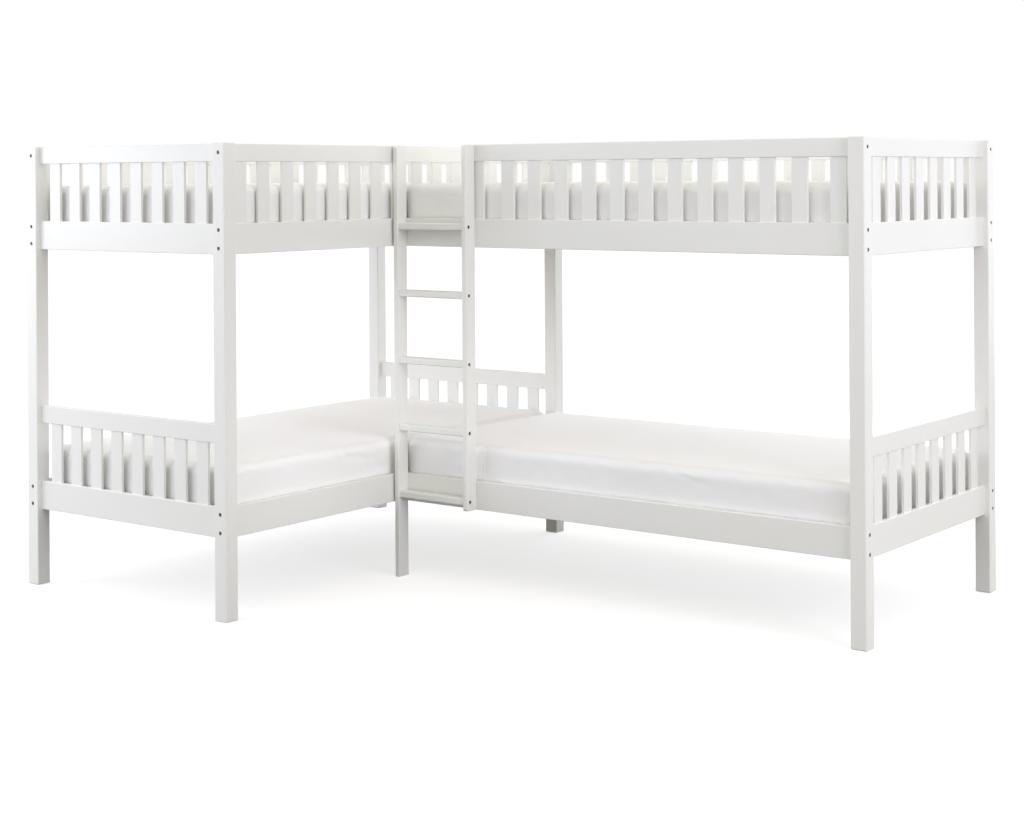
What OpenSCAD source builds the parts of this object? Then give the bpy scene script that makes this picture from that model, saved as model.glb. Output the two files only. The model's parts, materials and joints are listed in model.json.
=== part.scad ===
// L-shaped bunk bed for four: bunk A runs along Y on the left, bunk B runs along X behind it
// to the right. Both share the post in the far inner corner, and a bolted ladder stands in the
// inner corner, in front of bunk B. Millimetres, +Z up, origin on the floor under the middle.

/* [Overall] */
// Height of the posts
bed_h = 1651; // [1600:1:1750]
// Length of each bunk over its posts
bed_l = 2000; // [1990:1:2080]
// Width of each bunk over its posts
bed_w = 1065; // [1060:1:1100]

/* [Posts] */
// Side of the square posts
post_w = 57; // [54:1:64]
// Rounding of the posts' long edges
post_r = 4; // [2:0.5:6]
// Chamfer round the top and the foot of a post
post_chamfer = 3; // [1:0.5:4]

/* [Rails] */
// Thickness of all rails and boards
rail_t = 19; // [18:1:21]
// Rounding of their long edges
rail_r = 2.5; // [1:0.5:4]
// Height of the side and end boards that carry the decks
board_h = 107; // [100:1:115]
// Height of the top rails of the guards
guard_rail_h = 62; // [56:1:66]
// Height of the rail half way up the lower end panels
panel_rail_h = 66; // [56:1:72]
// Underside of the lower boards above the floor
lower_board_z = 284; // [260:1:300]
// Underside of the upper boards above the floor
upper_board_z = 1264; // [1240:1:1280]
// Underside of the panel rail above the floor
panel_rail_z = 610; // [580:1:640]
// Step from the top of a guard rail up to the top of a post
rail_drop = 3; // [1:0.5:6]
// Depth of the tenons that join the end rails to the posts
tenon_l = 20; // [14:1:21]
// Thickness of those tenons
tenon_t = 10; // [8:0.5:11]
// Shoulder above and below those tenons
tenon_shoulder = 8; // [6:1:12]

/* [Slats] */
// Width of the upright slats
slat_w = 59; // [50:1:62]
// Thickness of the upright slats
slat_t = 11; // [9:0.5:13]
// Chamfer of the slats' long edges
slat_chamfer = 1.5; // [0.5:0.5:2.5]
// Depth to which the slats are housed in the rails
slat_seat = 8; // [5:1:12]
// Upright slats in each end panel
end_slats = 8; // [6:1:9]
// Upright slats in each full guard
side_slats = 16; // [12:1:16]
// Upright slats in the guard beside the ladder
short_slats = 13; // [9:1:13]
// Pitch of the guards' slats, apart from the outermost ones
side_pitch = 120.5; // [112:0.5:121]
// Gap between a guard's outermost slats and the posts
slat_margin = 16; // [8:1:20]

/* [Ladder] */
// Thickness of the ladder's stiles
stile_t = 20; // [18:1:24]
// Depth of the stiles, from front to back
stile_d = 57; // [50:1:64]
// Radius of the corners at the stiles' ends
stile_end_r = 10; // [5:1:14]
// Clear width between the stiles
ladder_w = 313; // [290:1:360]
// Gap between bunk A's inner boards and the ladder
ladder_gap = 10; // [4:1:19]
// Height of a rung
rung_h = 26; // [22:1:32]
// Depth of a rung, from front to back
rung_d = 40; // [34:1:42]
// Rounding of the rungs' edges
rung_r = 5; // [3:0.5:8]
// Step from the stiles' front back to the rungs' front
rung_setback = 5; // [4:1:8]
// Step from the stiles' front back to the middle of the rungs' bolts
rung_bolt_in = 19; // [17:1:30]
// Number of rungs
rungs = 5; // [5:1:5]
// Middle of the lowest rung above the floor
rung_z = 317; // [300:1:330]
// Rise from rung to rung
rung_rise = 256; // [240:1:258]

/* [Fixings] */
// Diameter of the connector bolts
bolt_d = 6; // [5:0.5:7]
// Diameter of their round heads
bolt_head_d = 12.5; // [11:0.5:14]
// Height of the heads
bolt_head_h = 3.5; // [3:0.5:4]
// Diameter of the barrel nuts
nut_d = 10; // [9:0.5:11]
// Length of the barrel nuts
nut_l = 13; // [12:0.5:13]
// Distance of the barrel nuts from the ends of the rails
nut_in = 45; // [35:1:50]
// Height of the two bolts in a board above and below its edges
bolt_edge = 21.5; // [18:0.5:24]
// Diameter of the wood screws
screw_d = 4; // [3.5:0.5:4.5]
// Thickness of the angle brackets at the shared post
bracket_t = 2.5; // [2:0.5:3]
// Length of the brackets' legs along bunk B's back rails
bracket_leg = 40; // [36:1:44]

/* [Decks] */
// Slats that carry each mattress
deck_slats = 13; // [10:1:16]
// Width of a deck slat
deck_slat_w = 70; // [60:1:90]
// Thickness of a deck slat
deck_slat_t = 18; // [15:1:20]
// Step from the top of a board down to the top of the deck
deck_drop = 18; // [10:1:25]
// Width of the ledgers under the deck slats
ledger_w = 22; // [18:1:28]
// Height of the ledgers
ledger_h = 28; // [20:1:30]

/* [Mattresses] */
// Width of a mattress
mattress_w = 965; // [940:1:970]
// Length of a mattress
mattress_l = 1905; // [1880:1:1910]
// Height of a mattress at its edge
mattress_h = 152; // [120:1:160]
// Rise of the crown in the middle of a mattress
crown = 6; // [0:1:15]
// How far the sides are drawn in above and below their middle
side_bulge = 4; // [0:1:6]
// Radius in plan of the corners that stand between the posts
mattress_r = 48; // [46:1:70]
// Radius in plan of bunk B's corners beside bunk A, where nothing presses on them
free_r = 22; // [20:1:70]
// Rounding of the lower edges
mattress_foot_r = 20; // [12:1:30]
// Rounding of the upper edges
mattress_top_r = 30; // [20:1:40]
// Gap between a mattress and what it is pushed up to
mattress_gap = 3; // [2:0.5:4]

/* [Hidden] */
$fn = 32;

// Overall footprint: bunk B starts at bunk A's inner side and takes in the shared post.
total_x = bed_w + bed_l - post_w;
total_y = bed_l;
front_b = bed_l - bed_w;

// Heights shared by every side and end.
guard_rail_z = bed_h - rail_drop - guard_rail_h;
upper_top = upper_board_z + board_h;
lower_top = lower_board_z + board_h;
board_bolts = [bolt_edge, board_h - bolt_edge];

// Rails stand in the middle of the posts.
mid = post_w / 2;
inset = (post_w - rail_t) / 2;
side_l = bed_l - 2 * post_w;
end_l = bed_w - 2 * post_w;
front_x = bed_w - inset;
front_l = total_x - post_w - front_x;

// The ladder's stiles stand on the front of bunk B's boards.
stile_h = bed_h - rail_drop;
stile_y = front_b + inset - stile_d;
left_x = front_x + ladder_gap;
right_x = left_x + stile_t + ladder_w;
stile_bottom = lower_board_z;
stile_seat = 8;
stile_r = 3;
stile_foot_r = 2;
rung_bolt_y = stile_y + rung_bolt_in;
short_l = total_x - post_w - right_x;

// Clearances and depths of the fixings.
bolt_hole_d = bolt_d + 1;
head_hole_d = bolt_head_d + 1.5;
head_depth = 4.5;
bolt_reach = 55;
bore_reach = 60;
nut_hole_depth = 15;
rung_bolt_l = 50;
screw_head_d = 8;
screw_head_h = 2.2;
bracket_screw_l = 18;
ladder_screw_l = 48;
board_screws = [board_h / 2 - 14, board_h / 2 + 14];
socket_d = 4.6;
socket_depth = 2.5;
head_chamfer = 1.5;
fit_clearance = 0.2;
hole_clearance = 0.4;
eps = 0.01;

// Angle brackets as [underside, height], and where their screws sit.
bracket_foot = inset - 1;
brackets = [
    [lower_board_z + 14, board_h - 28],
    [upper_board_z + 14, board_h - 28],
    [guard_rail_z + 8, guard_rail_h - 16]
];
bracket_screw_rows = [0.2, 0.8];
bracket_screw_x = bracket_leg - 12;

// Decks: ledgers end clear of the posts and the bolts.
ledger_gap = 48;
deck_clear = 2;
plank_r = 2;

// Mattresses: bunk A's are pushed up to its inner boards, bunk B's into the corner by the ladder.
corner_steps = 8;
crown_run = 228;
mattress_a = bed_w - inset - rail_t - mattress_gap - mattress_w;
mattress_b = [front_x + mattress_gap, front_b + inset + rail_t + mattress_gap];

// ---- profiles and blanks -------------------------------------------------------------------

module rounded_rect(w, h, r) {
    translate([r, 0]) square([w - 2 * r, h]);
    translate([0, r]) square([w, h - 2 * r]);
    for (x = [r, w - r], y = [r, h - r]) translate([x, y]) circle(r);
}

// A board along +X with its thickness centred on Y and its lower edge at z = 0.
module board(l, h, t = rail_t, r = rail_r) {
    rotate([90, 0, 90])
        linear_extrude(l)
            translate([-t / 2, 0]) rounded_rect(t, h, r);
}

// An upright slat with chamfered long edges, width along +X from x = 0.
module slat(h) {
    c = slat_chamfer;
    linear_extrude(h)
        translate([0, -slat_t / 2])
            polygon([
                [c, 0], [slat_w - c, 0], [slat_w, c], [slat_w, slat_t - c],
                [slat_w - c, slat_t], [c, slat_t], [0, slat_t - c], [0, c]
            ]);
}

// The pocket that houses one end of a slat; it opens at z = 0 and goes down.
module slat_pocket() {
    translate([0, -slat_t / 2, -slat_seat]) cube([slat_w, slat_t, slat_seat + 1]);
}

// ---- where the upright slats stand along a rail ----------------------------------------------

function end_slat_x() =
    let (gap = (end_l - end_slats * slat_w) / (end_slats + 1))
    [for (i = [0:end_slats - 1]) gap + i * (gap + slat_w)];

// Slats of a guard: the outermost ones stand at from and at to, and the rest keep their pitch.
function guard_slat_x(n, from, to) =
    let (inner = n - 2, first = (from + to - (inner - 1) * side_pitch) / 2)
    concat([from], [for (i = [0:inner - 1]) first + i * side_pitch], [to]);

function side_slat_x() = guard_slat_x(side_slats, slat_margin, side_l - slat_margin - slat_w);

// Beside the ladder the first slat stands behind the stile.
function short_slat_x() = guard_slat_x(short_slats, 0, short_l - slat_margin - slat_w);

// ---- placing: each side and end is made along +X with the bunk's inside towards +Y -----------

module in_bed() {
    translate([-total_x / 2, -total_y / 2, 0]) children();
}

module at_side(side) {
    if (side == "a_outer") in_bed() translate([mid, bed_l - post_w, 0]) rotate(-90) children();
    if (side == "a_inner") in_bed() translate([bed_w - mid, post_w, 0]) rotate(90) children();
    if (side == "b_front") in_bed() translate([front_x, front_b + mid, 0]) children();
    if (side == "b_back") in_bed() translate([total_x - post_w, bed_l - mid, 0]) rotate(180) children();
}

module at_end(end) {
    if (end == "a_near") in_bed() translate([post_w, mid, 0]) children();
    if (end == "a_far") in_bed() translate([bed_w - post_w, bed_l - mid, 0]) rotate(180) children();
    if (end == "b") in_bed() translate([total_x - mid, front_b + post_w, 0]) rotate(90) children();
}

// ---- posts -----------------------------------------------------------------------------------

// A post's outline from the side: straight, with its top and foot chamfered.
module post_outline() {
    c = post_chamfer;
    polygon([
        [c, 0], [post_w - c, 0], [post_w, c], [post_w, bed_h - c],
        [post_w - c, bed_h], [c, bed_h], [0, bed_h - c], [0, c]
    ]);
}

module post_blank() {
    intersection() {
        translate([-mid, -mid, 0]) linear_extrude(bed_h) rounded_rect(post_w, post_w, post_r);
        translate([-mid, mid, 0]) rotate([90, 0, 0]) linear_extrude(post_w) post_outline();
        translate([-mid, -mid, 0]) rotate([90, 0, 90]) linear_extrude(post_w) post_outline();
    }
}

// Mortises for an end panel's four rails, in the face towards +X.
module post_mortises() {
    translate([mid - tenon_l, -tenon_t / 2, 0])
        for (rail = [
            [lower_board_z, board_h], [panel_rail_z, panel_rail_h],
            [upper_board_z, board_h], [guard_rail_z, guard_rail_h]
        ])
            translate([0, 0, rail[0] + tenon_shoulder])
                cube([tenon_l + 1, tenon_t, rail[1] - 2 * tenon_shoulder]);
}

// Bolt holes right through, with a round recess for each head in the face towards +X.
module post_bolt_holes() {
    for (z = bolt_heights()) translate([0, 0, z]) {
        rotate([0, 90, 0]) cylinder(d = bolt_hole_d, h = post_w + 2, center = true);
        translate([mid - head_depth, 0, 0]) rotate([0, 90, 0]) cylinder(d = head_hole_d, h = head_depth + 1);
    }
}

function bolt_heights() = concat(
    [for (b = board_bolts) lower_board_z + b],
    [for (b = board_bolts) upper_board_z + b],
    [guard_rail_z + guard_rail_h / 2]
);

// panel: direction of the end panel; heads: direction in which the bolt heads face.
module post(x, y, panel, heads) {
    color("white") in_bed() translate([x + mid, y + mid, 0]) difference() {
        post_blank();
        rotate(panel) post_mortises();
        rotate(heads) post_bolt_holes();
    }
}

module post_a_near_outer() { post(0, 0, 0, -90); }
module post_a_near_inner() { post(bed_w - post_w, 0, 180, -90); }
module post_a_far_outer() { post(0, bed_l - post_w, 0, 90); }
module post_b_near() { post(total_x - post_w, front_b, 90, 0); }
module post_b_far() { post(total_x - post_w, bed_l - post_w, -90, 0); }

module post_shared_corner() {
    difference() {
        post(bed_w - post_w, bed_l - post_w, 180, 90);
        bracket_screw_holes();
    }
}

// ---- end panels --------------------------------------------------------------------------------

// An end rail with a tenon at both ends; slots lists the slat pockets: above, below or both.
module end_rail(end, z, h, above, below) {
    color("white") at_end(end) translate([0, 0, z]) difference() {
        union() {
            board(end_l, h);
            translate([-tenon_l, -tenon_t / 2, tenon_shoulder])
                cube([end_l + 2 * tenon_l, tenon_t, h - 2 * tenon_shoulder]);
        }
        for (x = end_slat_x()) translate([x, 0, 0]) {
            if (above) translate([0, 0, h]) slat_pocket();
            if (below) mirror([0, 0, 1]) slat_pocket();
        }
    }
}

module end_slat_set(end, from, to) {
    color("white") at_end(end)
        for (x = end_slat_x()) translate([x, 0, from - slat_seat]) slat(to - from + 2 * slat_seat);
}

module end_guard_rail(end) { end_rail(end, guard_rail_z, guard_rail_h, false, true); }
module end_upper_slats(end) { end_slat_set(end, upper_top, guard_rail_z); }
module end_upper_board(end) { end_rail(end, upper_board_z, board_h, true, false); }
module end_panel_rail(end) { end_rail(end, panel_rail_z, panel_rail_h, false, true); }
module end_lower_slats(end) { end_slat_set(end, lower_top, panel_rail_z); }
module end_lower_board(end) { end_rail(end, lower_board_z, board_h, true, false); }

// ---- long sides ----------------------------------------------------------------------------------

// Bolt bore along a rail from its end, and the cross hole for its barrel nut in the inner face.
module end_bore(z) {
    translate([-1, 0, z]) rotate([0, 90, 0]) cylinder(d = bolt_hole_d, h = bore_reach + 1);
    translate([nut_in, rail_t / 2 - nut_hole_depth, z])
        rotate([-90, 0, 0]) cylinder(d = nut_d, h = nut_hole_depth + 1);
}

module end_bores(l, heights, start, finish) {
    for (z = heights) {
        if (start) end_bore(z);
        if (finish) translate([l, 0, 0]) mirror([1, 0, 0]) end_bore(z);
    }
}

// slats: where slat pockets are cut in the top edge.
module side_board(side, z, l, slats = [], finish = true) {
    color("white") at_side(side) translate([0, 0, z]) difference() {
        board(l, board_h);
        end_bores(l, board_bolts, true, finish);
        for (x = slats) translate([x, 0, board_h]) slat_pocket();
    }
}

module side_guard_rail(side, l, slats, start = true, finish = true, from = 0) {
    color("white") at_side(side) translate([from, 0, guard_rail_z]) difference() {
        board(l, guard_rail_h);
        end_bores(l, [guard_rail_h / 2], start, finish);
        for (x = slats) translate([x, 0, 0]) mirror([0, 0, 1]) slat_pocket();
    }
}

module side_slats(side, slats, from = 0) {
    color("white") at_side(side)
        for (x = slats) translate([from + x, 0, upper_top - slat_seat])
            slat(guard_rail_z - upper_top + 2 * slat_seat);
}

module side_a_outer_guard_rail() { side_guard_rail("a_outer", side_l, side_slat_x()); }
module side_a_outer_slats() { side_slats("a_outer", side_slat_x()); }
module side_a_outer_upper_board() { side_board("a_outer", upper_board_z, side_l, side_slat_x()); }
module side_a_outer_lower_board() { side_board("a_outer", lower_board_z, side_l); }

// Bunk A's inner boards are drilled for the bolts that hold the left ends of bunk B's front boards.
module cross_bolt_holes(z) {
    at_side("a_inner") translate([front_b + mid - post_w, 0, z])
        for (b = board_bolts) translate([0, 0, b]) {
            rotate([90, 0, 0]) cylinder(d = bolt_hole_d, h = rail_t + 2, center = true);
            translate([0, rail_t / 2 - head_depth, 0])
                rotate([-90, 0, 0]) cylinder(d = head_hole_d, h = head_depth + 1);
        }
}

module side_a_inner_guard_rail() { side_guard_rail("a_inner", side_l, side_slat_x()); }
module side_a_inner_slats() { side_slats("a_inner", side_slat_x()); }

module side_a_inner_upper_board() {
    difference() {
        side_board("a_inner", upper_board_z, side_l, side_slat_x());
        cross_bolt_holes(upper_board_z);
    }
}

module side_a_inner_lower_board() {
    difference() {
        side_board("a_inner", lower_board_z, side_l);
        cross_bolt_holes(lower_board_z);
    }
}

function front_guard_from() = right_x - front_x;
function front_guard_slats() = [for (x = short_slat_x()) front_guard_from() + x];

module side_b_front_guard_rail() {
    difference() {
        side_guard_rail("b_front", short_l, short_slat_x(), false, true, front_guard_from());
        ladder_screw_holes();
    }
}

module side_b_front_slats() { side_slats("b_front", front_guard_slats()); }

module side_b_front_upper_board() {
    difference() {
        side_board("b_front", upper_board_z, front_l, front_guard_slats());
        ladder_screw_holes();
    }
}

module side_b_front_lower_board() {
    difference() {
        side_board("b_front", lower_board_z, front_l);
        ladder_screw_holes();
    }
}

// Bunk B's back ends at the shared post, where angle brackets take the place of bolts.
module side_b_back_guard_rail() {
    difference() {
        side_guard_rail("b_back", side_l, side_slat_x(), true, false);
        bracket_screw_holes();
    }
}

module side_b_back_slats() { side_slats("b_back", side_slat_x()); }

module side_b_back_upper_board() {
    difference() {
        side_board("b_back", upper_board_z, side_l, side_slat_x(), false);
        bracket_screw_holes();
    }
}

module side_b_back_lower_board() {
    difference() {
        side_board("b_back", lower_board_z, side_l, [], false);
        bracket_screw_holes();
    }
}

// ---- ladder --------------------------------------------------------------------------------------

function rung_heights() = [for (i = [0:rungs - 1]) rung_z + i * rung_rise];

// A stile between the heights bottom and stile_h, its inner face with housings towards inner (+1/-1).
module stile(x, bottom, foot_r, inner) {
    color("white") difference() {
        in_bed() translate([x, stile_y, 0]) intersection() {
            translate([0, 0, bottom])
                linear_extrude(stile_h - bottom)
                    rounded_rect(stile_t, stile_d, stile_r);
            rotate([90, 0, 90]) linear_extrude(stile_t) stile_outline(bottom, foot_r);
        }
        in_bed() for (z = rung_heights()) rung_blank(z);
        for (z = rung_heights()) rung_bolt_hole(x, z, inner);
        ladder_screw_holes();
    }
}

// The stile from the side: rounded corners at the top, and at the bottom where it hangs free.
module stile_outline(bottom, foot_r) {
    h = stile_h - bottom;
    translate([0, bottom]) {
        translate([0, foot_r]) square([stile_d, h - foot_r - stile_end_r]);
        translate([stile_end_r, 0]) square([stile_d - 2 * stile_end_r, h]);
        translate([foot_r, 0]) square([stile_d - 2 * foot_r, stile_end_r]);
        for (y = [stile_end_r, stile_d - stile_end_r]) translate([y, h - stile_end_r]) circle(stile_end_r);
        for (y = [foot_r, stile_d - foot_r]) translate([y, foot_r]) circle(foot_r);
    }
}

// A rung reaches into a housing in each stile.
module rung_blank(z) {
    translate([left_x + stile_t - stile_seat, stile_y + rung_setback, z - rung_h / 2])
        rotate([90, 0, 90])
            linear_extrude(ladder_w + 2 * stile_seat) rounded_rect(rung_d, rung_h, rung_r);
}

// From the outer face of a stile towards the rung: recess for the head, then the bore.
module rung_bolt_hole(x, z, inner) {
    in_bed() translate([inner > 0 ? x : x + stile_t, rung_bolt_y, z]) rotate([0, 90 * inner, 0]) {
        translate([0, 0, -1]) cylinder(d = head_hole_d, h = head_depth + 1);
        cylinder(d = bolt_hole_d, h = rung_bolt_l + head_depth);
    }
}

module rung(i) {
    z = rung_heights()[i];
    color("white") difference() {
        in_bed() rung_blank(z);
        rung_bolt_hole(left_x, z, 1);
        rung_bolt_hole(right_x, z, -1);
    }
}

// ---- fixings ---------------------------------------------------------------------------------------

// A connector bolt along +X: the underside of its head is at x = 0 and the head points to -X.
module bolt(l) {
    rotate([0, 90, 0]) difference() {
        union() {
            cylinder(d = bolt_d, h = l);
            translate([0, 0, -bolt_head_h + 1]) cylinder(d = bolt_head_d, h = bolt_head_h - 1);
            translate([0, 0, -bolt_head_h])
                cylinder(d1 = bolt_head_d - 2 * head_chamfer, d2 = bolt_head_d, h = 1);
        }
        translate([0, 0, -bolt_head_h - 1]) cylinder(d = socket_d, h = socket_depth + 1, $fn = 6);
    }
}

// Bolts of one post in the direction of its rails.
module post_bolts(x, y, heads) {
    in_bed() translate([x + mid, y + mid, 0]) rotate(heads)
        for (z = bolt_heights()) translate([mid - head_depth, 0, z])
            rotate(180) bolt(post_w - head_depth + bolt_reach);
}

module cross_bolts(z) {
    at_side("a_inner") translate([front_b + mid - post_w, rail_t / 2 - head_depth, z])
        for (b = board_bolts) translate([0, 0, b]) rotate(-90) bolt(rail_t - head_depth + bolt_reach);
}

module connector_bolts() {
    color("darkgoldenrod") {
        post_bolts(0, 0, -90);
        post_bolts(bed_w - post_w, 0, -90);
        post_bolts(0, bed_l - post_w, 90);
        post_bolts(bed_w - post_w, bed_l - post_w, 90);
        post_bolts(total_x - post_w, front_b, 0);
        post_bolts(total_x - post_w, bed_l - post_w, 0);
        cross_bolts(lower_board_z);
        cross_bolts(upper_board_z);
        in_bed() for (z = rung_heights()) {
            translate([left_x + head_depth, rung_bolt_y, z]) bolt(rung_bolt_l - 2);
            translate([right_x + stile_t - head_depth, rung_bolt_y, z]) rotate(180) bolt(rung_bolt_l - 2);
        }
    }
}

// A barrel nut in its cross hole, with a bore for the bolt that passes through it.
module barrel_nut(z) {
    translate([nut_in, 0, z]) difference() {
        translate([0, rail_t / 2 - nut_hole_depth, 0])
            rotate([-90, 0, 0]) cylinder(d = nut_d - fit_clearance, h = nut_l);
        rotate([0, 90, 0]) cylinder(d = bolt_d + fit_clearance, h = nut_d + 2, center = true);
    }
}

module nuts(l, z, heights, start, finish) {
    for (b = heights) translate([0, 0, z]) {
        if (start) barrel_nut(b);
        if (finish) translate([l, 0, 0]) mirror([1, 0, 0]) barrel_nut(b);
    }
}

module barrel_nuts() {
    color("silver") {
        for (side = ["a_outer", "a_inner", "b_front", "b_back"]) at_side(side) {
            l = side == "b_front" ? front_l : side_l;
            for (z = [lower_board_z, upper_board_z]) nuts(l, z, board_bolts, true, side != "b_back");
            nuts(l, guard_rail_z, [guard_rail_h / 2], side != "b_front", side != "b_back");
        }
    }
}

// A countersunk screw along +X: the top of its head is at x = 0.
module screw(l, clearance = 0) {
    rotate([0, 90, 0]) {
        translate([0, 0, -clearance]) cylinder(d = screw_d + clearance, h = l + 2 * clearance);
        cylinder(d1 = screw_head_d + clearance, d2 = screw_d + clearance, h = screw_head_h);
        if (clearance > 0)
            translate([0, 0, -clearance]) cylinder(d = screw_head_d + clearance, h = clearance + eps);
    }
}

// Screws from inside bunk B through its front boards and guard rail into the stiles.
module ladder_screws(clearance = 0) {
    in_bed() for (x = [left_x + stile_t / 2, right_x + stile_t / 2]) {
        for (z = [lower_board_z, upper_board_z], b = board_screws)
            translate([x, front_b + inset + rail_t, z + b]) rotate(-90) screw(ladder_screw_l, clearance);
    }
    in_bed() translate([right_x + stile_t / 2, front_b + inset + rail_t, guard_rail_z + guard_rail_h / 2])
        rotate(-90) screw(ladder_screw_l, clearance);
}

module ladder_screw_holes() { ladder_screws(hole_clearance); }

// Angle brackets stand in the corner between the shared post and bunk B's back rails.
module at_bracket() {
    in_bed() translate([bed_w, bed_l - inset - rail_t, 0]) children();
}

module bracket_screws(clearance = 0) {
    at_bracket() for (b = brackets, s = bracket_screw_rows) {
        z = b[0] + s * b[1];
        translate([bracket_t, -bracket_foot / 2 - 1, z]) rotate(180) screw(bracket_screw_l, clearance);
        translate([bracket_screw_x, -bracket_t, z]) rotate(90) screw(bracket_screw_l, clearance);
    }
}

module bracket_screw_holes() { bracket_screws(hole_clearance); }

module corner_brackets() {
    color("silver") difference() {
        at_bracket() for (b = brackets) translate([0, 0, b[0]]) linear_extrude(b[1])
            polygon([
                [0, 0], [0, -bracket_foot], [bracket_t, -bracket_foot],
                [bracket_t, -bracket_t], [bracket_leg, -bracket_t], [bracket_leg, 0]
            ]);
        bracket_screw_holes();
    }
}

module wood_screws() {
    color("gold") {
        ladder_screws();
        bracket_screws();
    }
}

// ---- decks -------------------------------------------------------------------------------------------

// Ledgers run along the inner faces of all long boards, clear of posts, brackets and bolts.
module deck_ledgers() {
    color("burlywood")
        for (side = ["a_outer", "a_inner", "b_front", "b_back"], top = [lower_top, upper_top])
            at_side(side)
                translate([
                    side == "b_front" ? ledger_gap + post_w - inset : ledger_gap,
                    rail_t / 2, top - deck_drop - deck_slat_t - ledger_h
                ])
                    ledger();
}

module ledger() {
    translate([0, ledger_w / 2, 0]) board(side_l - 2 * ledger_gap - inset, ledger_h, ledger_w, plank_r);
}

// Slats across a bunk; the deck is made for bunk A and turned for bunk B.
module deck(top) {
    from = inset + rail_t + deck_clear;
    l = bed_w - 2 * from;
    span = side_l - 2 * ledger_gap - 2 * inset - deck_slat_w;
    color("burlywood") for (i = [0:deck_slats - 1])
        translate([from, (bed_l - span) / 2 + i * span / (deck_slats - 1), top - deck_drop - deck_slat_t])
            board(l, deck_slat_t, deck_slat_w, plank_r);
}

// Turns what is made for bunk A, along Y, into bunk B, along X behind the shared post.
module as_bunk_b() {
    translate([bed_w - post_w, bed_l, 0]) rotate(-90) children();
}

module deck_a_lower() { in_bed() deck(lower_top); }
module deck_a_upper() { in_bed() deck(upper_top); }
module deck_b_lower() { in_bed() as_bunk_b() deck(lower_top); }
module deck_b_upper() { in_bed() as_bunk_b() deck(upper_top); }

// ---- mattresses ------------------------------------------------------------------------------

// Outline of the mattress in plan, drawn in by d, one ring of points at height z; r_end is the
// radius of the two corners at its +Y end.
function ring(d, z, r_end) =
    [for (q = [0:3], s = [0:corner_steps - 1])
        let (a = q * 90 + s * 90 / (corner_steps - 1))
        let (sx = q == 0 || q == 3 ? 1 : -1, sy = q < 2 ? 1 : -1)
        let (r = max((q < 2 ? r_end : mattress_r) - d, 4))
        let (hx = mattress_w / 2 - d - r, hy = mattress_l / 2 - d - r)
        [sx * hx + r * cos(a), sy * hy + r * sin(a), z]];

// Profile of the side from the underside to the crown: [drawn in by, height].
function profile() =
    let (rb = mattress_foot_r, rt = mattress_top_r)
    concat(
        [for (a = [0:22.5:90]) [rb - rb * sin(a) + side_bulge, rb - rb * cos(a)]],
        [for (s = [0.25, 0.5, 0.75])
            [side_bulge * (1 - sin(180 * s)), rb + s * (mattress_h - rb - rt)]],
        [for (a = [0:18:90]) [rt - rt * cos(a) + side_bulge, mattress_h - rt + rt * sin(a)]],
        [for (s = [0.2, 0.5, 1]) [rt + side_bulge + s * crown_run, mattress_h + crown * sin(90 * s)]]
    );

module mattress(r_end) {
    rings = profile();
    n = 4 * corner_steps;
    m = len(rings);
    points = concat(
        [for (p = rings) each ring(p[0], p[1], r_end)],
        [[0, 0, 0], [0, 0, mattress_h + crown]]
    );
    sides = [for (k = [0:m - 2], i = [0:n - 1])
        let (a = k * n + i, b = k * n + (i + 1) % n)
        each [[a, a + n, b + n], [a, b + n, b]]];
    bottom = [for (i = [0:n - 1]) [m * n, i, (i + 1) % n]];
    top = [for (i = [0:n - 1]) [m * n + 1, (m - 1) * n + (i + 1) % n, (m - 1) * n + i]];
    color("whitesmoke") polyhedron(points, concat(sides, bottom, top), convexity = 4);
}

module mattress_in_a(top) {
    in_bed() translate([mattress_a + mattress_w / 2, bed_l / 2, top - deck_drop]) mattress(mattress_r);
}

module mattress_in_b(top) {
    in_bed() translate([mattress_b[0] + mattress_l / 2, mattress_b[1] + mattress_w / 2, top - deck_drop])
        rotate(90) mattress(free_r);
}

// ---- one line per node ------------------------------------------------------------------------

post_a_near_outer();
post_a_near_inner();
post_a_far_outer();
post_shared_corner();
post_b_near();
post_b_far();
end_guard_rail("a_near");  // end_a_near_guard_rail
end_upper_slats("a_near");  // end_a_near_upper_slats
end_upper_board("a_near");  // end_a_near_upper_board
end_panel_rail("a_near");  // end_a_near_panel_rail
end_lower_slats("a_near");  // end_a_near_lower_slats
end_lower_board("a_near");  // end_a_near_lower_board
end_guard_rail("a_far");  // end_a_far_guard_rail
end_upper_slats("a_far");  // end_a_far_upper_slats
end_upper_board("a_far");  // end_a_far_upper_board
end_panel_rail("a_far");  // end_a_far_panel_rail
end_lower_slats("a_far");  // end_a_far_lower_slats
end_lower_board("a_far");  // end_a_far_lower_board
end_guard_rail("b");  // end_b_guard_rail
end_upper_slats("b");  // end_b_upper_slats
end_upper_board("b");  // end_b_upper_board
end_panel_rail("b");  // end_b_panel_rail
end_lower_slats("b");  // end_b_lower_slats
end_lower_board("b");  // end_b_lower_board
side_a_outer_guard_rail();
side_a_outer_slats();
side_a_outer_upper_board();
side_a_outer_lower_board();
side_a_inner_guard_rail();
side_a_inner_slats();
side_a_inner_upper_board();
side_a_inner_lower_board();
side_b_front_guard_rail();
side_b_front_slats();
side_b_front_upper_board();
side_b_front_lower_board();
side_b_back_guard_rail();
side_b_back_slats();
side_b_back_upper_board();
side_b_back_lower_board();
stile(left_x, 0, stile_foot_r, 1);  // ladder_left_stile
stile(right_x, stile_bottom, stile_end_r, -1);  // ladder_right_stile
rung(0);  // ladder_rung_1
rung(1);  // ladder_rung_2
rung(2);  // ladder_rung_3
rung(3);  // ladder_rung_4
rung(4);  // ladder_rung_5
connector_bolts();
barrel_nuts();
wood_screws();
corner_brackets();
deck_ledgers();
deck_a_lower();
deck_a_upper();
deck_b_lower();
deck_b_upper();
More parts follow.
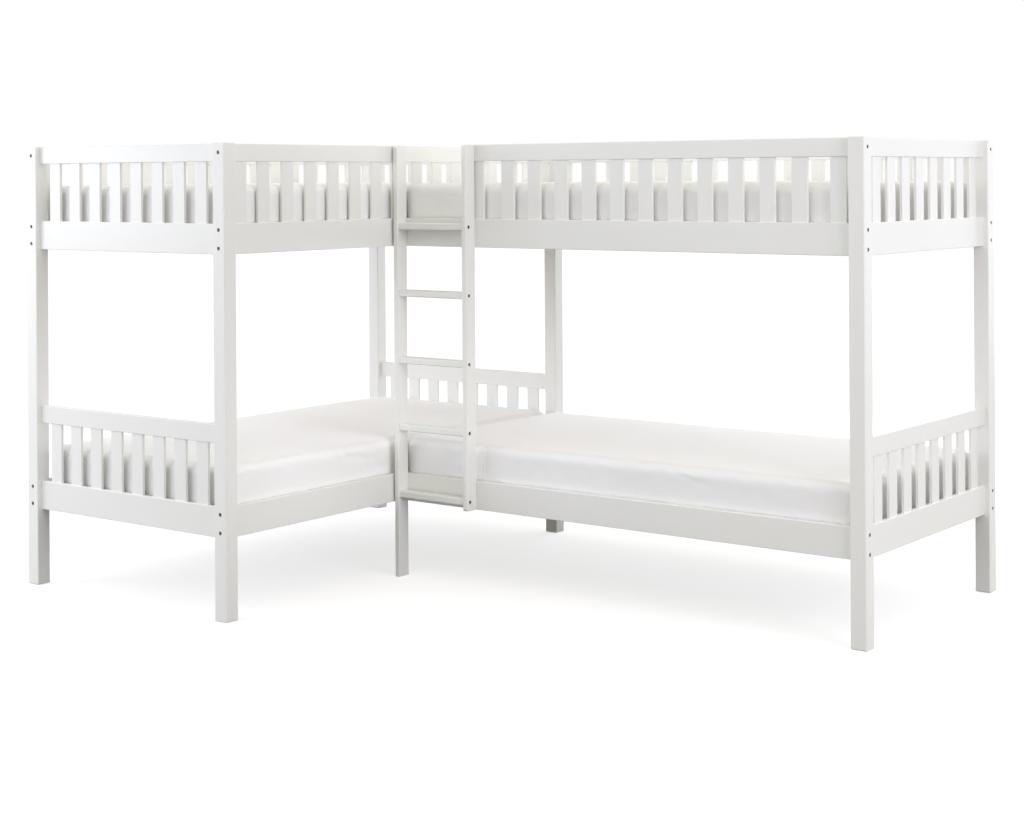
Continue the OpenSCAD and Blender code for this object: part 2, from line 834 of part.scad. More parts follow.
mattress_in_a(lower_top);  // mattress_a_lower
mattress_in_a(upper_top);  // mattress_a_upper
mattress_in_b(lower_top);  // mattress_b_lower
mattress_in_b(upper_top);  // mattress_b_upper
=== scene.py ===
"""The l shaped bunk bed: finishes, mattresses with fitted sheets, studio light and camera.

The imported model's wood and metal keep their shapes and get procedural finishes. Each mattress's
solid is replaced by a ticking core with a fitted cotton sheet: a cloth simulation settles the
sheet over the core, creases are pressed into both, and the sheet's corners get sewn seams.
"""

import json
import math
from collections import namedtuple

import bpy
import numpy as np
from mathutils import Euler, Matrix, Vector


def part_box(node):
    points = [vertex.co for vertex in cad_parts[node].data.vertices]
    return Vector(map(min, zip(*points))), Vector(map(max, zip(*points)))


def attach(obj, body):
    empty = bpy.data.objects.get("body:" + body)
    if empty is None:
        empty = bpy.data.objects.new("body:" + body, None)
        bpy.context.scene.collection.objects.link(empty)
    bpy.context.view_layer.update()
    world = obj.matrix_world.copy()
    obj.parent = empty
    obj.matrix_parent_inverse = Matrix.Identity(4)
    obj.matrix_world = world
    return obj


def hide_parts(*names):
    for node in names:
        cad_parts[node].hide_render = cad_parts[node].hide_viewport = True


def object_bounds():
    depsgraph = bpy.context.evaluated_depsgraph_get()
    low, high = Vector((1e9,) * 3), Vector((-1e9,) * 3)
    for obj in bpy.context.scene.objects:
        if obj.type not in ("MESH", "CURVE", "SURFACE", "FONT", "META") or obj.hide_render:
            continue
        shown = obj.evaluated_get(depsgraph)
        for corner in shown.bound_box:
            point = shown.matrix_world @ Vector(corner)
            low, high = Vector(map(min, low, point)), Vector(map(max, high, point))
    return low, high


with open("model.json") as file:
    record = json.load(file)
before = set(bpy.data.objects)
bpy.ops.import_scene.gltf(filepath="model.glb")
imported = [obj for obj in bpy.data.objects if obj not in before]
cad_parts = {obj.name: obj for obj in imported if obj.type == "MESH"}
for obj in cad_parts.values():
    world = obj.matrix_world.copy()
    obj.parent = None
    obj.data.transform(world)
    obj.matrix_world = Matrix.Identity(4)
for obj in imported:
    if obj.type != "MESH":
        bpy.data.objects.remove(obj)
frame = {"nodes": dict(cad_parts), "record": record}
cad_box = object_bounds()

# ---- mattresses, in metres -----------------------------------------------------------------------

Mattress = namedtuple("Mattress", "part sheet core low high")
PARTS = ("a_lower", "a_upper", "b_lower", "b_upper")

# Plan radii: corners cut round a post, bunk B's corners beside bunk A, and the least radius drawn.
POST_RADIUS = 0.048
FREE_RADIUS = 0.022
SHARPEST = 0.006
TOP_ROUND = 0.030
FOOT_ROUND = 0.020
CROWN = 0.006

# Mesh rows: the grid's step, the rows of each stretch of the side, and the last row onto the top.
GRID = 0.020
TUCK_ROWS, FOOT_ROWS, WALL_ROWS, TOP_ROWS = 5, 4, 5, 5
TOP_STEP = 0.7 * GRID

SHEET_THICKNESS = 0.0009
SHEET_INSET = 0.0015
SHEET_MARGIN = 0.0006
HEM_TUCK = 0.115
HEM_HEIGHT = 0.002
CORE_INSET = 0.0060
CORE_FOOT = 0.0026
CORE_TUCK = 0.06

# The cloth: its spare share and where that lies, its gap to the core, the simulated frames, and
# how far it may move from its drawn shape.
SPARE_CLOTH = 0.020
CORNER_SLACK, CORNER_SHARE = 0.22, 0.75
SIDE_SLACK, SIDE_SHARE = 0.06, 0.4
CLOTH_GAP = 0.0015
CLOTH_STEPS = 24
CLOTH_REACH = 0.012

# Creases on a sheet, from the mattress's lowest corner: start, end, half width and depth.
CREASES = {
    "b_lower": [
        ((0.380, 0.0, 0.026), (0.380, 0.0, 0.141), 0.0054, 0.0085),
        ((0.374, 0.004, 0.150), (0.468, 0.004, 0.150), 0.0050, 0.0055),
        ((1.230, 0.0, 0.120), (1.345, 0.0, 0.098), 0.0080, 0.0014),
    ],
    "a_lower": [
        ((0.963, 0.335, 0.150), (0.963, 0.400, 0.150), 0.0055, 0.0030),
        ((0.965, 0.620, 0.118), (0.965, 0.760, 0.092), 0.0080, 0.0026),
        ((0.965, 0.700, 0.060), (0.965, 0.820, 0.052), 0.0080, 0.0022),
    ],
}
# The elastic's pleats beside each corner: distance from the corner, height and lean towards it.
PLEATS = [(0.078, 0.085, 0.014), (0.112, 0.105, 0.020), (0.158, 0.070, 0.012), (0.215, 0.048, 0.006)]
PLEAT_FOOT = 0.012
PLEAT_WIDTH = 0.0065
PLEAT_DEPTH = 0.0020

# A crease draws the grid's points in, ends softly, and has a low ridge beside its groove.
CREASE_DRAW = 0.62
CREASE_DRAW_REACH = 1.6 * GRID
CREASE_END = 2.0
RIDGE_PLACE = 1.7
RIDGE_HEIGHT = 0.45

# The seam starts on the first row that has left the mattress's underside.
SEAM_RADIUS = 0.0011
SEAM_FIRST_ROW = TUCK_ROWS + 1

# ---- camera and studio ---------------------------------------------------------------------------

# The camera was fitted to the photograph. It points level, and its place is measured from the
# footprint's corner of least x and y. The lens's axis meets the picture at row PRINCIPAL_Y.
CAMERA_PLACE = (5.6061, -4.3767, 1.5242)
CAMERA_YAW = 37.037
CAMERA_ROLL = -0.341
CAMERA_FOCAL_PX = 1815.3
PRINCIPAL_Y = 177.6
IMAGE_W, IMAGE_H = 1024, 826
SENSOR = 36.0
CLIP_END = 100

WORLD_COLOUR = (1.0, 0.986, 0.880, 1)
WORLD_STRENGTH = 0.888
WHITE = (1, 1, 1, 1)

# The floor's tone where light bounces off it, its tone as the camera sees it, and a glow for that.
FLOOR_REACH = 30.0
FLOOR_BOUNCE = 0.20
FLOOR_PALE = 0.45
FLOOR_GLOW = 0.68

# Soft lamps: name, place, target, size, watts, colour and spread in degrees.
LAMPS = [
    ("near_left", (-3.4, -2.8, 2.0), (-1.4, -1.0, 1.0), (1.4, 1.4), 26, (0.80, 0.85, 1.0), 180),
    ("near_low", (-3.2, -2.6, 1.2), (-1.4, -1.0, 0.9), (1.4, 1.2), 8, (0.96, 0.92, 0.84), 180),
    ("left", (-5.0, -1.0, 1.7), (-1.0, 0.0, 0.9), (2.4, 2.0), 48, (0.76, 0.79, 1.0), 180),
    ("aisle", (0.95, -0.75, 0.55), (-0.5, -0.47, 0.45), (0.5, 0.4), 0.38, (1.0, 0.98, 0.98), 60),
    ("front_left", (-2.0, -4.8, 1.6), (0.0, 0.3, 0.8), (2.0, 1.6), 42, (0.70, 0.73, 1.0), 180),
    ("right", (5.2, -1.2, 2.4), (1.2, 0.3, 1.0), (2.4, 2.4), 95, (0.87, 0.84, 1.0), 180),
    ("back", (0.3, 5.0, 1.5), (0.0, 0.5, 0.7), (5.0, 2.0), 130, (0.80, 0.88, 1.0), 180),
]

# ---- node helpers --------------------------------------------------------------------------------


class Material:
    """A node material with a Principled shader, and short ways to add and join nodes."""

    def __init__(self, name):
        self.material = bpy.data.materials.new(name)
        self.material.use_nodes = True
        self.tree = self.material.node_tree
        self.shader = self.tree.nodes["Principled BSDF"]
        self.coords = self.add("ShaderNodeTexCoord").outputs["Object"]

    def add(self, kind, **settings):
        node = self.tree.nodes.new(kind)
        for key, value in settings.items():
            setattr(node, key, value)
        return node

    def join(self, output, target):
        self.tree.links.new(output, target)

    def scaled(self, scale):
        mapping = self.add("ShaderNodeMapping")
        mapping.inputs["Scale"].default_value = scale
        self.join(self.coords, mapping.inputs["Vector"])
        return mapping.outputs["Vector"]

    def noise(self, scale, size=(1, 1, 1), detail=3.0, roughness=0.5, distortion=0.0):
        node = self.add("ShaderNodeTexNoise")
        node.inputs["Scale"].default_value = scale
        node.inputs["Detail"].default_value = detail
        node.inputs["Roughness"].default_value = roughness
        node.inputs["Distortion"].default_value = distortion
        self.join(self.scaled(size), node.inputs["Vector"])
        return node.outputs["Fac"]

    def ramp(self, factor, stops):
        """Colours at places along the factor, from its lowest to its highest."""
        node = self.add("ShaderNodeValToRGB")
        elements = node.color_ramp.elements
        while len(elements) < len(stops):
            elements.new(0.5)
        for element, (place, colour) in zip(elements, stops):
            element.position = place
            element.color = (*colour, 1.0)
        self.join(factor, node.inputs["Fac"])
        return node.outputs["Color"]

    def span(self, factor, low, high, from_low=0.0, from_high=1.0):
        node = self.add("ShaderNodeMapRange")
        node.inputs["From Min"].default_value = from_low
        node.inputs["From Max"].default_value = from_high
        node.inputs["To Min"].default_value = low
        node.inputs["To Max"].default_value = high
        self.join(factor, node.inputs["Value"])
        return node.outputs["Result"]

    def math(self, operation, a, b):
        node = self.add("ShaderNodeMath", operation=operation)
        for place, value in enumerate((a, b)):
            if isinstance(value, (int, float)):
                node.inputs[place].default_value = value
            else:
                self.join(value, node.inputs[place])
        return node.outputs["Value"]

    def bump(self, height, distance, strength=1.0, normal=None):
        node = self.add("ShaderNodeBump")
        node.inputs["Strength"].default_value = strength
        node.inputs["Distance"].default_value = distance
        self.join(height, node.inputs["Height"])
        if normal is not None:
            self.join(normal, node.inputs["Normal"])
        return node.outputs["Normal"]

    def colour(self, output):
        self.join(output, self.shader.inputs["Base Color"])

    def roughness(self, output):
        self.join(output, self.shader.inputs["Roughness"])

    def normal(self, output):
        self.join(output, self.shader.inputs["Normal"])


def along(axis, lengthwise, across):
    """A texture scale that is small along the grain and large across it."""
    return tuple(lengthwise if place == axis else across for place in range(3))


# ---- materials -----------------------------------------------------------------------------------


def white_paint(axis):
    """Satin white paint over planed wood whose grain runs along the axis."""
    m = Material("white_paint_" + "xyz"[axis])
    tone = m.noise(1.0, along(axis, 1.2, 6.0), detail=4.0)
    m.colour(m.ramp(tone, [(0.3, (0.838, 0.837, 0.806)), (0.7, (0.862, 0.861, 0.836))]))
    m.roughness(m.span(m.noise(9.0, along(axis, 1.0, 4.0)), 0.30, 0.46))
    grain = m.noise(1.0, along(axis, 5.0, 170.0), detail=5.0, roughness=0.6)
    brushed = m.bump(grain, 0.00022, 0.55)
    skin = m.noise(420.0, detail=2.0)
    m.normal(m.bump(skin, 0.00006, 0.35, brushed))
    m.shader.inputs["Specular IOR Level"].default_value = 0.45
    m.shader.inputs["Coat Weight"].default_value = 0.12
    m.shader.inputs["Coat Roughness"].default_value = 0.28
    return m.material


def bare_pine(axis):
    """Planed pine with growth rings drawn out along the axis."""
    m = Material("bare_pine_" + "xyz"[axis])
    warp = m.noise(1.0, along(axis, 0.9, 7.0), detail=3.0, distortion=0.6)
    rings = m.math("SINE", m.math("MULTIPLY", warp, 95.0), 0.0)
    rings = m.span(rings, 0.0, 1.0, -1.0, 1.0)
    fibre = m.noise(1.0, along(axis, 9.0, 320.0), detail=4.0, roughness=0.65)
    mix = m.math("ADD", m.math("MULTIPLY", rings, 0.6), m.math("MULTIPLY", fibre, 0.45))
    m.colour(m.ramp(mix, [
        (0.15, (0.70, 0.50, 0.29)), (0.5, (0.78, 0.60, 0.38)), (0.85, (0.60, 0.40, 0.21)),
    ]))
    m.roughness(m.span(fibre, 0.5, 0.68))
    m.normal(m.bump(fibre, 0.00035, 0.6))
    return m.material


def plated(name, tone, stops, dull, skin, depth):
    """Plated metal. Tone is a noise's scale and detail, dull a scale and the roughness's range."""
    m = Material(name)
    spots, detail = tone
    m.colour(m.ramp(m.noise(spots, detail=detail), stops))
    m.shader.inputs["Metallic"].default_value = 1.0
    patches, low, high = dull
    m.roughness(m.span(m.noise(patches), low, high))
    m.normal(m.bump(m.noise(skin), depth, 0.4))
    return m.material


def antique_brass():
    stops = [(0.35, (0.055, 0.051, 0.032)), (0.8, (0.215, 0.195, 0.115))]
    return plated("antique_brass", (160.0, 4.0), stops, (300.0, 0.32, 0.52), 900.0, 0.00004)


def zinc_steel():
    stops = [(0.3, (0.50, 0.50, 0.49)), (0.7, (0.66, 0.66, 0.64))]
    return plated("zinc_steel", (90.0, 3.0), stops, (240.0, 0.28, 0.44), 700.0, 0.00003)


# Blender's wave texture turns through 20 radians in each unit of its scaled space.
WAVE_TURN = 20.0


def cotton(name, warm, cool, radian=0.00075):
    """Woven cotton: crossed waves, one radian in this length, and slubs from a fine noise."""
    m = Material(name)
    tone = m.noise(2.4, detail=3.0)
    m.colour(m.ramp(tone, [(0.3, warm), (0.7, cool)]))
    waves = []
    for axis in range(3):
        wave = m.add("ShaderNodeTexWave", wave_type="BANDS", bands_direction="XYZ"[axis])
        wave.inputs["Scale"].default_value = 1.0 / radian / WAVE_TURN
        wave.inputs["Distortion"].default_value = 0.5
        m.join(m.coords, wave.inputs["Vector"])
        waves.append(wave.outputs["Fac"])
    weave = m.math("MULTIPLY", m.math("ADD", waves[0], waves[1]), m.math("ADD", waves[2], 0.35))
    slub = m.noise(60.0, detail=4.0)
    cloth = m.bump(weave, 0.00010, 0.35)
    m.normal(m.bump(slub, 0.0004, 0.22, cloth))
    m.roughness(m.span(slub, 0.78, 0.92))
    m.shader.inputs["Sheen Weight"].default_value = 0.25
    m.shader.inputs["Sheen Roughness"].default_value = 0.5
    m.shader.inputs["Specular IOR Level"].default_value = 0.25
    return m.material


# ---- the frame's finishes ------------------------------------------------------------------------


def longest_axis(node):
    low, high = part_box(node)
    size = high - low
    return max(range(3), key=lambda place: size[place])


def grain_axis(node):
    """The grain runs along a board. Slats stand upright, but a deck's slats cross the deck."""
    if node.endswith("slats"):
        return 2
    if node.startswith("deck_a"):
        return 0
    if node.startswith("deck_b"):
        return 1
    return longest_axis(node)


def set_material(obj, material):
    if not obj.material_slots:
        obj.data.materials.append(material)
    for place in obj.material_slots:
        place.material = material


PAINT = [white_paint(axis) for axis in range(3)]
PINE = [bare_pine(axis) for axis in range(3)]
BRASS = antique_brass()
STEEL = zinc_steel()
COTTON = cotton("white_cotton", (0.912, 0.906, 0.908), (0.930, 0.926, 0.930))
TICKING = cotton("mattress_ticking", (0.72, 0.72, 0.70), (0.78, 0.78, 0.76), radian=0.0014)


def dress_frame():
    slots = {part["node"]: part["material_slot"] for part in frame["record"]["subparts"]}
    finishes = {
        "white_paint": lambda node: PAINT[grain_axis(node)],
        "bare_pine": lambda node: PINE[grain_axis(node)],
        "bolt_brass": lambda node: BRASS,
        "zinc_steel": lambda node: STEEL,
    }
    for node, obj in frame["nodes"].items():
        finish = finishes.get(slots[node])
        if finish:
            set_material(obj, finish(node))


# ---- the mattress's shape ------------------------------------------------------------------------


def rounded_plan(u, v, half_x, half_y, radius):
    """Maps points of the square -1..1 onto a rounded rectangle."""
    x, y = u * half_x, v * half_y
    flat_x = np.minimum(np.abs(x), half_x - radius)
    flat_y = np.minimum(np.abs(y), half_y - radius)
    over_x, over_y = (np.abs(x) - flat_x) / radius, (np.abs(y) - flat_y) / radius
    round_x = over_x * np.sqrt(1 - over_y**2 / 2)
    round_y = over_y * np.sqrt(1 - over_x**2 / 2)
    return np.sign(x) * (flat_x + radius * round_x), np.sign(y) * (flat_y + radius * round_y)


def rim_counts(low, high):
    """How many grid steps go along the mattress in x and in y."""
    return [round((high[place] - low[place]) / GRID) for place in (0, 1)]


def rim_square(count_x, count_y):
    """Points round the edge of the square -1..1, counter-clockwise from its lower left corner."""
    across = np.linspace(-1, 1, count_x + 1)[:-1]
    up = np.linspace(-1, 1, count_y + 1)[:-1]
    u = np.concatenate([across, np.ones(count_y), -across, -np.ones(count_y)])
    v = np.concatenate([-np.ones(count_x), up, np.ones(count_x), -up])
    return u, v


def side_profile(height, tuck):
    """(drawn in, height) from under the edge, up the side and onto the top."""
    rows = [(FOOT_ROUND + tuck * (1 - s), 0.0) for s in np.linspace(0, 1, TUCK_ROWS + 1)[:-1]]
    for a in np.linspace(0, math.pi / 2, FOOT_ROWS):
        rows.append((FOOT_ROUND * (1 - math.sin(a)), FOOT_ROUND * (1 - math.cos(a))))
    wall = height - FOOT_ROUND - TOP_ROUND
    rows += [(0.0, FOOT_ROUND + s * wall) for s in np.linspace(0, 1, WALL_ROWS + 2)[1:-1]]
    for a in np.linspace(0, math.pi / 2, TOP_ROWS):
        rows.append((TOP_ROUND * (1 - math.cos(a)), height - TOP_ROUND * (1 - math.sin(a))))
    rows.append((TOP_ROUND + TOP_STEP, height))
    return rows


def corner_radius(part, u):
    """Every corner is rounded to clear a post, but for bunk B's two corners beside bunk A."""
    return np.where((u < 0) & (part[0] == "b"), FREE_RADIUS, POST_RADIUS)


def soft_box(name, part, low, high, tuck, closed):
    """A mattress-shaped skin inside the box low..high: rings up the side and a grid on top."""
    middle, half = (low + high) / 2, (high - low) / 2
    height = high.z - low.z - CROWN
    count = rim_counts(low, high)
    u, v = rim_square(*count)
    n = len(u)

    def ring(u, v, inset, z):
        radius = np.maximum(corner_radius(part, u) - inset, SHARPEST)
        x, y = rounded_plan(u, v, half.x - inset, half.y - inset, radius)
        return np.stack([x, y, np.full(len(x), z)], axis=1)

    profile = side_profile(height, tuck)
    points = np.concatenate([ring(u, v, inset, z) for inset, z in profile])
    here, beyond = np.arange(n), (np.arange(n) + 1) % n
    quads = [
        np.stack([row + here, row + beyond, row + n + beyond, row + n + here], axis=1)
        for row in range(0, n * (len(profile) - 1), n)
    ]

    def cap(points, rim, inset, z):
        """The points with a grid's added that fills the rim, and the grid's faces, facing up."""
        gu, gv = np.meshgrid(*(np.linspace(-1, 1, k + 1)[1:-1] for k in count), indexing="ij")
        index = np.empty((count[0] + 1, count[1] + 1), int)
        index[1:-1, 1:-1] = len(points) + np.arange(gu.size).reshape(gu.shape)
        column, row = (np.rint((w + 1) / 2 * k).astype(int) for w, k in zip((u, v), count))
        index[column, row] = rim
        corners = [index[:-1, :-1], index[1:, :-1], index[1:, 1:], index[:-1, 1:]]
        inner = ring(gu.ravel(), gv.ravel(), inset, z)
        return np.concatenate([points, inner]), np.stack(corners, axis=-1).reshape(-1, 4)

    points, top = cap(points, len(points) - n + here, *profile[-1])
    quads.append(top)
    if closed:
        points, bottom = cap(points, here, *profile[0])
        quads.append(bottom[:, ::-1])
    rise = (1 - np.abs(points[:, 0] / half.x) ** 3) * (1 - np.abs(points[:, 1] / half.y) ** 3)
    points[:, 2] += np.where(points[:, 2] > height - TOP_ROUND, CROWN * np.clip(rise, 0, 1), 0)
    points += np.array([middle.x, middle.y, low.z])
    mesh = bpy.data.meshes.new(name)
    mesh.from_pydata(points.tolist(), [], np.concatenate(quads).tolist())
    mesh.polygons.foreach_set("use_smooth", [True] * len(mesh.polygons))
    obj = bpy.data.objects.new(name, mesh)
    bpy.context.scene.collection.objects.link(obj)
    return obj


def points_of(mesh):
    co = np.empty(len(mesh.vertices) * 3)
    mesh.vertices.foreach_get("co", co)
    return co.reshape(-1, 3)


def put_points(mesh, co, low, high):
    """Moves the mesh's points, kept inside the mattress's box."""
    inside = np.clip(co, np.array(low) + SHEET_MARGIN, np.array(high) - SHEET_MARGIN)
    mesh.vertices.foreach_set("co", inside.ravel())
    mesh.update()


# ---- the sheet's cloth simulation ----------------------------------------------------------------


def tautness(co, low, high):
    """1 where the sheet is drawn flat, down to 0 where cloth is spare: at the corners and sides."""
    in_x = np.minimum(co[:, 0] - low.x, high.x - co[:, 0])
    in_y = np.minimum(co[:, 1] - low.y, high.y - co[:, 1])
    at_corner = np.exp(-(np.hypot(in_x, in_y) / CORNER_SLACK) ** 2)
    at_side = np.exp(-(np.minimum(in_x, in_y) / SIDE_SLACK) ** 2)
    return np.clip(1 - CORNER_SHARE * at_corner - SIDE_SHARE * at_side, 0, 1)


def dress_for_cloth(sheet, low, high):
    """Pins the hem under the mattress, and gives the sheet its spare cloth."""
    co = points_of(sheet.data)
    hem = sheet.vertex_groups.new(name="hem")
    under = (co[:, 2] < low.z + HEM_HEIGHT).nonzero()[0]
    hem.add(under.tolist(), 1.0, "REPLACE")
    taut = sheet.vertex_groups.new(name="taut")
    for place, weight in enumerate(tautness(co, low, high)):
        taut.add([place], float(weight), "REPLACE")
    cloth = sheet.modifiers.new("cloth", "CLOTH")
    cloth.settings.quality = 6
    cloth.settings.mass = 0.06
    cloth.settings.tension_stiffness = 25
    cloth.settings.compression_stiffness = 25
    cloth.settings.shear_stiffness = 8
    cloth.settings.bending_stiffness = 0.15
    cloth.settings.vertex_group_mass = hem.name
    cloth.settings.vertex_group_shrink = taut.name
    cloth.settings.shrink_min = -SPARE_CLOTH
    cloth.settings.shrink_max = 0.0
    cloth.collision_settings.distance_min = CLOTH_GAP
    cloth.collision_settings.use_self_collision = False


def settle(mattresses):
    """Lets the sheets sag and pucker over their mattresses; keeps the result as plain meshes."""
    for _, sheet, core, low, high in mattresses:
        core.modifiers.new("collision", "COLLISION")
        core.collision.thickness_outer = CLOTH_GAP
        core.collision.thickness_inner = 0.02
        core.collision.cloth_friction = 6
        dress_for_cloth(sheet, low, high)
    for step in range(1, CLOTH_STEPS + 1):
        bpy.context.scene.frame_set(step)
    graph = bpy.context.evaluated_depsgraph_get()
    for _, sheet, core, low, high in mattresses:
        before = points_of(sheet.data)
        after = points_of(sheet.evaluated_get(graph).data)
        moved = CLOTH_REACH * np.tanh((after - before) / CLOTH_REACH)
        for piece in (sheet, core):
            piece.modifiers.clear()
        put_points(sheet.data, before + moved, low, high)
    bpy.context.scene.frame_set(1)


# ---- creases and seams ---------------------------------------------------------------------------


def corner_pleats(size):
    """Starts and ends of the pleats on both sides of each of the four corners."""
    pleats = []
    for x_side in (0, 1):
        for y_side in (0, 1):
            corner = np.array([x_side * size.x, y_side * size.y, 0.0])
            for axis, side in ((0, x_side), (1, y_side)):
                inward = np.zeros(3)
                inward[axis] = 1 - 2 * side
                for distance, rise, lean in PLEATS:
                    foot = corner + inward * distance + np.array([0, 0, PLEAT_FOOT])
                    head = foot - inward * lean + np.array([0, 0, rise])
                    pleats.append((foot, head, PLEAT_WIDTH, PLEAT_DEPTH))
    return pleats


def press(co, normals, start, end, width, depth):
    """Presses one crease, a groove with a low ridge beside it, along the line start to end."""
    run = end - start
    length = np.linalg.norm(run)
    run = run / length
    beside = np.cross(normals, run)
    beside /= np.maximum(np.linalg.norm(beside, axis=1, keepdims=True), 1e-6)
    offset = co - start
    reach = offset @ run
    past = np.maximum(np.maximum(-reach, reach - length), 0)
    aside = (offset * beside).sum(axis=1)
    away = np.linalg.norm(offset - np.outer(reach, run) - beside * aside[:, None], axis=1)
    near = np.exp(-(past / (CREASE_END * width)) ** 2) * (away < GRID)
    drawn = aside * (1 - CREASE_DRAW * np.exp(-(aside / CREASE_DRAW_REACH) ** 2))
    groove = np.exp(-(drawn / width) ** 2)
    ridge = np.exp(-((drawn - RIDGE_PLACE * width) / width) ** 2)
    co = co + beside * ((drawn - aside) * near)[:, None]
    return co + normals * (depth * near * (RIDGE_HEIGHT * ridge - groove))[:, None]


def crease(mattress):
    """Presses the mattress's creases and pleats into its sheet, and into the core behind it."""
    part, sheet, core, low, high = mattress
    for piece in (sheet, core):
        co = points_of(piece.data)
        normals = np.empty(co.size)
        piece.data.vertex_normals.foreach_get("vector", normals)
        normals = normals.reshape(-1, 3)
        for start, end, width, depth in CREASES.get(part, []) + corner_pleats(high - low):
            co = press(co, normals, np.array(low) + start, np.array(low) + end, width, depth)
        put_points(piece.data, co, low, high)


def skin_box(low, high):
    """The box that the sheet's outer face fills, just inside the mattress's own."""
    skin = Vector((SHEET_INSET, SHEET_INSET, SHEET_INSET))
    return low + skin, high - skin


def corner_seams(mattress):
    """The sewn corners of the fitted sheet: a raised seam up each corner and over its edge."""
    part, sheet, _, low, high = mattress
    count_x, count_y = rim_counts(*skin_box(low, high))
    rim = 2 * (count_x + count_y)
    rows = len(side_profile(high.z - low.z, HEM_TUCK))
    smooth = points_of(sheet.evaluated_get(bpy.context.evaluated_depsgraph_get()).data)
    curve = bpy.data.curves.new("sheet_seams_" + part, "CURVE")
    curve.dimensions = "3D"
    curve.bevel_depth = SEAM_RADIUS
    curve.bevel_resolution = 2
    curve.use_fill_caps = True
    for corner in (0, count_x, count_x + count_y, 2 * count_x + count_y):
        path = smooth[[row * rim + corner for row in range(SEAM_FIRST_ROW, rows)]]
        spline = curve.splines.new("BEZIER")
        spline.bezier_points.add(len(path) - 1)
        for point, place in zip(spline.bezier_points, path):
            point.co = place
            point.handle_left_type = point.handle_right_type = "AUTO"
    seams = bpy.data.objects.new(curve.name, curve)
    bpy.context.scene.collection.objects.link(seams)
    set_material(seams, COTTON)
    return seams


# ---- the mattresses as wholes --------------------------------------------------------------------


def make_mattress(part):
    """A ticking-covered core, and the fitted sheet that is drawn over it."""
    low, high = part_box("mattress_" + part)
    core_low = low + Vector((CORE_INSET, CORE_INSET, CORE_FOOT))
    core_high = high - Vector((CORE_INSET, CORE_INSET, CORE_INSET))
    core = soft_box("mattress_core_" + part, part, core_low, core_high, CORE_TUCK, True)
    set_material(core, TICKING)
    sheet = soft_box("fitted_sheet_" + part, part, *skin_box(low, high), HEM_TUCK, False)
    set_material(sheet, COTTON)
    return Mattress(part, sheet, core, low, high)


def finish_mattress(mattress):
    """Smooths the sheet, gives it thickness and seams, hides the packed mattress, and hangs each
    piece on its bunk's body.
    """
    part, sheet, core, low, high = mattress
    smooth = sheet.modifiers.new("smooth", "SUBSURF")
    smooth.levels = smooth.render_levels = 1
    seams = corner_seams(mattress)
    shell = sheet.modifiers.new("thickness", "SOLIDIFY")
    shell.thickness = SHEET_THICKNESS
    shell.offset = -1
    bunk, storey = part.split("_")
    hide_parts("mattress_" + part)
    for piece in (core, sheet, seams):
        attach(piece, f"{storey}_mattress_{bunk}")


# ---- studio --------------------------------------------------------------------------------------


def seen_directly(tree):
    """1 for camera, glossy and transmission rays, so that they all meet the same white."""
    path = tree.nodes.new("ShaderNodeLightPath")
    rays = [path.outputs[name] for name in ("Is Camera Ray", "Is Glossy Ray", "Is Transmission Ray")]
    total = rays[0]
    for ray in rays[1:]:
        node = tree.nodes.new("ShaderNodeMath")
        node.operation = "MAXIMUM"
        tree.links.new(total, node.inputs[0])
        tree.links.new(ray, node.inputs[1])
        total = node.outputs["Value"]
    return total


def make_world():
    """Soft light from all round, with a plain white background for the camera and for gloss."""
    world = bpy.data.worlds.new("studio")
    bpy.context.scene.world = world
    world.use_nodes = True
    tree = world.node_tree
    tree.nodes.clear()
    mix = tree.nodes.new("ShaderNodeMixShader")
    tree.links.new(seen_directly(tree), mix.inputs["Fac"])
    for place, (colour, strength) in enumerate([(WORLD_COLOUR, WORLD_STRENGTH), (WHITE, 1.0)]):
        light = tree.nodes.new("ShaderNodeBackground")
        light.inputs["Color"].default_value = colour
        light.inputs["Strength"].default_value = strength
        tree.links.new(light.outputs[0], mix.inputs[1 + place])
    out = tree.nodes.new("ShaderNodeOutputWorld")
    tree.links.new(mix.outputs[0], out.inputs["Surface"])


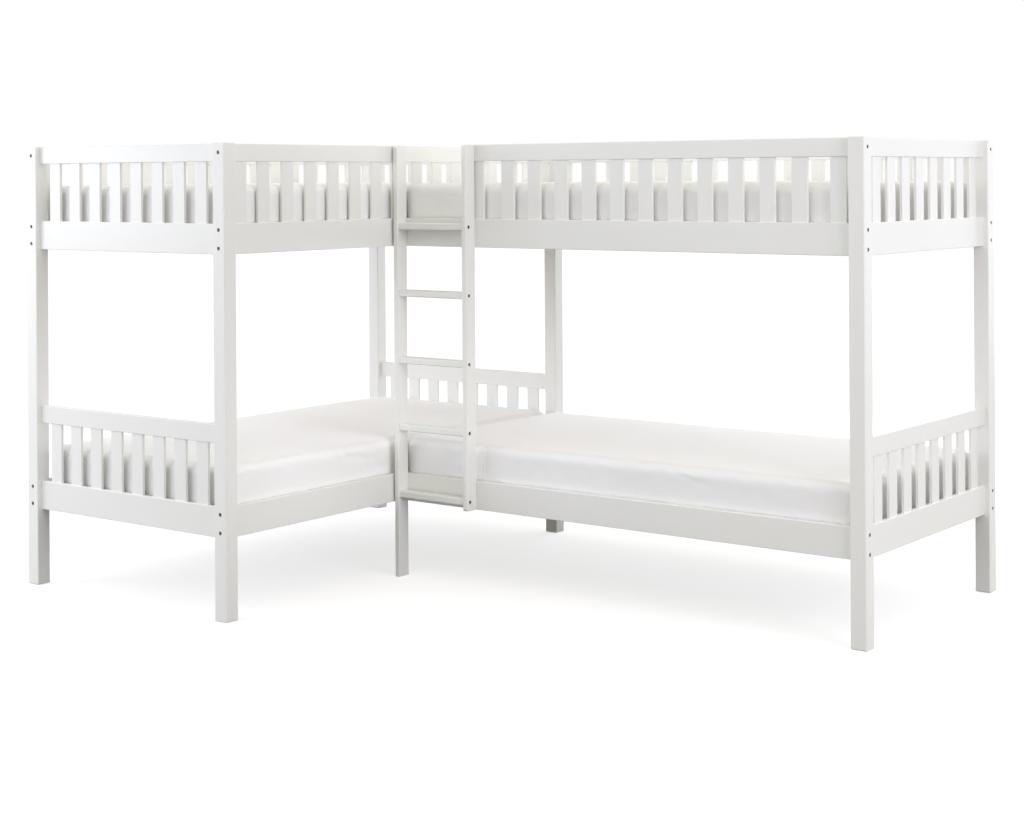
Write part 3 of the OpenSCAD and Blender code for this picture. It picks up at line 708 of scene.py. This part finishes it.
def make_floor():
    """A pale floor that keeps the bed's shadow; what the camera sees of it is lifted to white."""
    mesh = bpy.data.meshes.new("studio_floor")
    signs = [(-1, -1), (1, -1), (1, 1), (-1, 1)]
    mesh.from_pydata([(x * FLOOR_REACH, y * FLOOR_REACH, 0) for x, y in signs], [], [(0, 1, 2, 3)])
    floor = bpy.data.objects.new("studio_floor", mesh)
    bpy.context.scene.collection.objects.link(floor)
    material = bpy.data.materials.new("floor_white")
    material.use_nodes = True
    tree = material.node_tree
    tree.nodes.clear()
    seen = seen_directly(tree)
    tone = tree.nodes.new("ShaderNodeMapRange")
    tone.inputs["To Min"].default_value = FLOOR_BOUNCE
    tone.inputs["To Max"].default_value = FLOOR_PALE
    tree.links.new(seen, tone.inputs["Value"])
    diffuse = tree.nodes.new("ShaderNodeBsdfDiffuse")
    tree.links.new(tone.outputs["Result"], diffuse.inputs["Color"])
    strength = tree.nodes.new("ShaderNodeMath")
    strength.operation = "MULTIPLY"
    strength.inputs[1].default_value = FLOOR_GLOW
    tree.links.new(seen, strength.inputs[0])
    glow = tree.nodes.new("ShaderNodeEmission")
    tree.links.new(strength.outputs["Value"], glow.inputs["Strength"])
    both = tree.nodes.new("ShaderNodeAddShader")
    tree.links.new(diffuse.outputs[0], both.inputs[0])
    tree.links.new(glow.outputs[0], both.inputs[1])
    out = tree.nodes.new("ShaderNodeOutputMaterial")
    tree.links.new(both.outputs[0], out.inputs["Surface"])
    mesh.materials.append(material)


def add_lamp(name, place, target, size, watts, colour, spread):
    light = bpy.data.lights.new(name, "AREA")
    light.shape = "RECTANGLE"
    light.size, light.size_y = size
    light.energy = watts
    light.color = colour
    light.spread = math.radians(spread)
    lamp = bpy.data.objects.new(name, light)
    lamp.location = place
    lamp.rotation_euler = (Vector(target) - Vector(place)).to_track_quat("-Z", "Y").to_euler()
    lamp.visible_camera = False
    bpy.context.scene.collection.objects.link(lamp)


def make_camera():
    low, _ = cad_box
    camera = bpy.data.cameras.new("camera")
    camera.sensor_width = SENSOR
    camera.lens = CAMERA_FOCAL_PX / IMAGE_W * SENSOR
    camera.shift_y = (PRINCIPAL_Y - IMAGE_H / 2) / IMAGE_W
    camera.clip_end = CLIP_END
    obj = bpy.data.objects.new("camera", camera)
    obj.location = Vector(CAMERA_PLACE) + Vector((low[0], low[1], 0))
    turn = Euler((math.radians(90), 0, math.radians(CAMERA_YAW))).to_matrix()
    roll = Euler((0, 0, math.radians(CAMERA_ROLL))).to_matrix()
    obj.rotation_euler = (turn @ roll).to_euler()
    bpy.context.scene.collection.objects.link(obj)
    bpy.context.scene.camera = obj


bpy.context.scene.view_settings.view_transform = "Standard"
make_camera()
make_world()
make_floor()
for lamp in LAMPS:
    add_lamp(*lamp)

dress_frame()
mattresses = [make_mattress(part) for part in PARTS]
settle(mattresses)
for mattress in mattresses:
    crease(mattress)
    finish_mattress(mattress)
